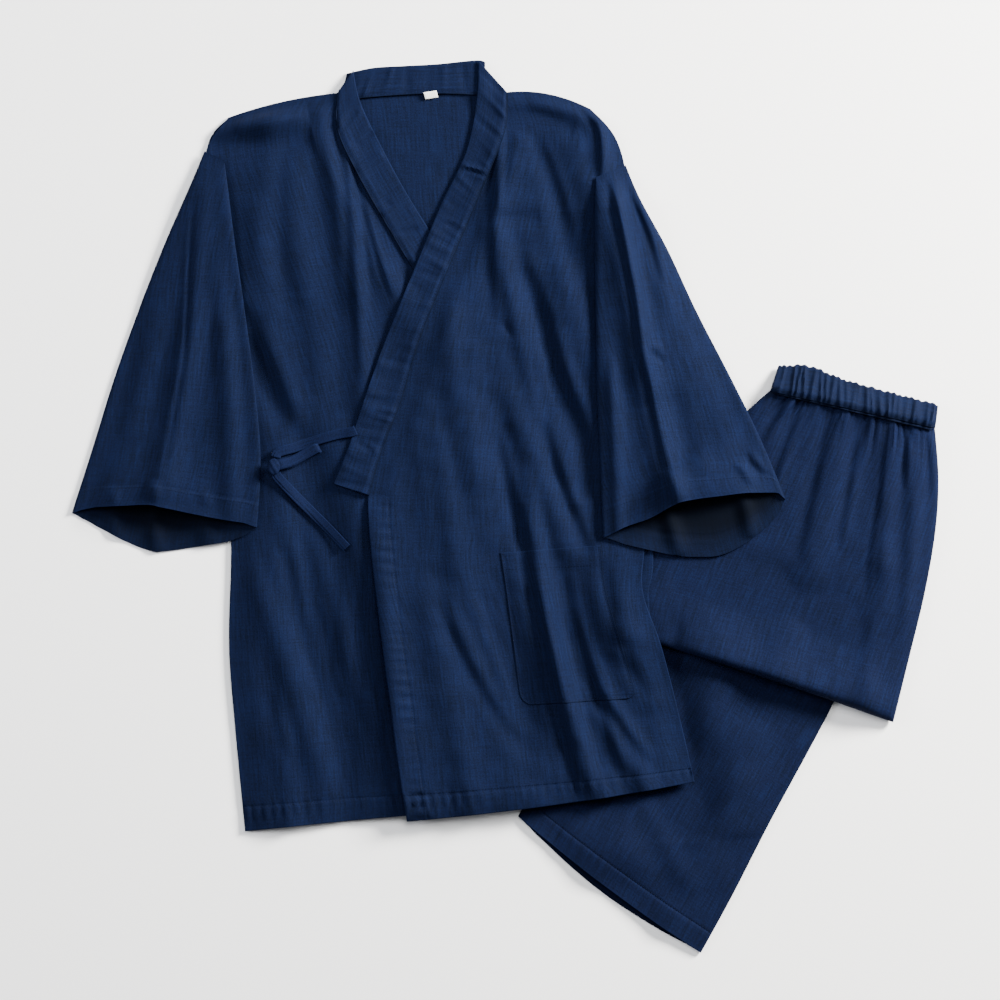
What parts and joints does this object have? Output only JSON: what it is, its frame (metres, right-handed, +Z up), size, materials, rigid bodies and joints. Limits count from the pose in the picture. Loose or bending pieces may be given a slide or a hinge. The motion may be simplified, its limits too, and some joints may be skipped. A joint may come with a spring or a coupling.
{
  "type": "jinbei set",
  "caption": "Cotton wrap jacket with wide short sleeves, side tie and patch pocket, laid flat over its folded trousers with a gathered elastic waist.",
  "frame": {"origin": "centre of the set's bounding box, on the surface that it lies on", "axes": "+Z up from the surface, +Y towards the jacket's collar, +X towards the wearer's left sleeve and the trousers"},
  "size_m": [0.92, 0.948, 0.0395],
  "materials": {
    "jacket_cotton": "matt plain-weave slub cotton",
    "sleeve_cotton": "matt plain-weave slub cotton",
    "collar_cotton": "matt plain-weave slub cotton, two layers",
    "tie_cotton": "matt plain-weave slub cotton strap",
    "trousers_cotton": "matt plain-weave slub cotton",
    "waist_cotton": "matt cotton casing gathered over elastic",
    "white_label": "bare white woven tape"
  },
  "bodies": {
    "root": {"jacket_back": "jacket_cotton", "front_under": "jacket_cotton", "front_over": "jacket_cotton", "pocket": "jacket_cotton", "sleeve_right": "sleeve_cotton", "sleeve_left": "sleeve_cotton", "collar_neck": "collar_cotton", "collar_under": "collar_cotton", "collar_over": "collar_cotton", "tie_strap": "tie_cotton", "tie_knot": "tie_cotton", "tie_loop": "tie_cotton", "tie_end": "tie_cotton", "label": "white_label", "trousers_leg_under": "trousers_cotton", "trousers_leg_upper": "trousers_cotton", "trousers_folded_layers": "trousers_cotton", "trousers_waist_upper": "waist_cotton", "trousers_waist_under": "waist_cotton"}
  },
  "joints": []
}
